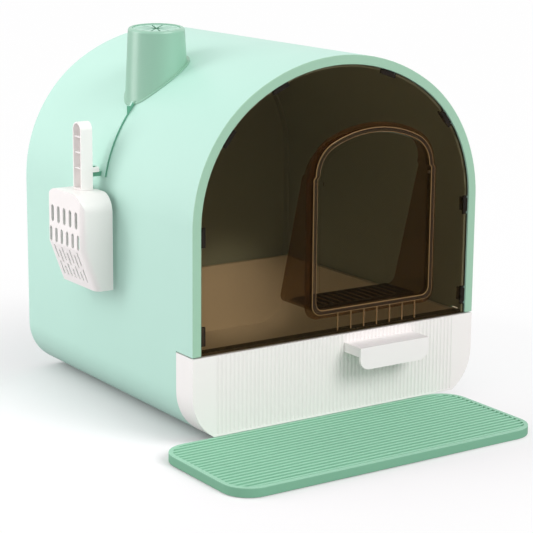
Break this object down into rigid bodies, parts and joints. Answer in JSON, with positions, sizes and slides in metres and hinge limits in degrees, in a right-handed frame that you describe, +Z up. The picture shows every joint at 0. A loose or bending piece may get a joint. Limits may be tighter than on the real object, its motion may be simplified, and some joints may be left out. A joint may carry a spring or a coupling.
{
  "type": "drawer litter box",
  "caption": "Arched litter box with a smoked front and swinging door, pull-out litter drawer, roof vent, hanging scoop and grooved mat.",
  "frame": {"origin": "middle of the litter box's footprint on the floor, under the central foot", "axes": "+X to the right as seen from the front, +Y from the front to the back, +Z up"},
  "size_m": [0.447, 0.567, 0.4531],
  "materials": {
    "mint_plastic": "satin moulded ABS with a very fine texture",
    "hanger_plastic": "satin flexible polypropylene",
    "mat_plastic": "matt moulded plastic with a fine texture",
    "white_plastic": "satin white ABS",
    "smoked_clear": "polished see-through acrylic, brown smoked",
    "foot_rubber": "matt soft rubber",
    "carbon_foam": "open-cell foam loaded with active carbon",
    "screw_steel": "zinc plated screws"
  },
  "bodies": {
    "housing": {"hood_shell": "mint_plastic", "rear_panel": "mint_plastic", "base_tray": "mint_plastic", "runner_left": "mint_plastic", "runner_right": "mint_plastic", "drawer_stops": "mint_plastic", "feet": "foot_rubber", "front_panel": "smoked_clear", "panel_clips": "smoked_clear", "door_frame": "smoked_clear", "sill_ribs": "smoked_clear", "vestibule": "smoked_clear", "litter_grille": "smoked_clear", "vent_duct": "mint_plastic", "filter_basket": "white_plastic", "filter_puck": "carbon_foam", "scoop_hanger": "hanger_plastic"},
    "drawer": {"drawer_front": "white_plastic", "drawer_tub": "white_plastic", "drawer_handle": "white_plastic", "handle_screws": "screw_steel"},
    "flap": {"door_flap": "smoked_clear", "flap_pins": "smoked_clear"},
    "cap": {"vent_cap": "mint_plastic"},
    "scoop": {"scoop_bowl": "white_plastic", "scoop_handle": "white_plastic"},
    "mat": {"floor_mat": "mat_plastic", "mat_pads": "foot_rubber"}
  },
  "joints": [
    {"name": "drawer_slide", "type": "slide", "parent": "housing", "child": "drawer", "axis": [0, -1, 0], "range_m": [0, 0.33]},
    {"name": "flap_hinge", "type": "hinge", "parent": "housing", "child": "flap", "pos_m": [0.048, -0.1975, 0.286], "axis": [1, 0, 0], "range_deg": [-75, 75]},
    {"name": "cap_turn", "type": "hinge", "parent": "housing", "child": "cap", "pos_m": [-0.12523, 0.00166, 0.451], "axis": [-0.0383, -0.0576, 0.9976], "range_deg": [0, 15]},
    {"name": "scoop_lift", "type": "slide", "parent": "housing", "child": "scoop", "axis": [0, 0, 1], "range_m": [0, 0.06]},
    {"name": "mat_pull", "type": "slide", "parent": "housing", "child": "mat", "axis": [0, -1, 0], "range_m": [0, 0.05]}
  ]
}
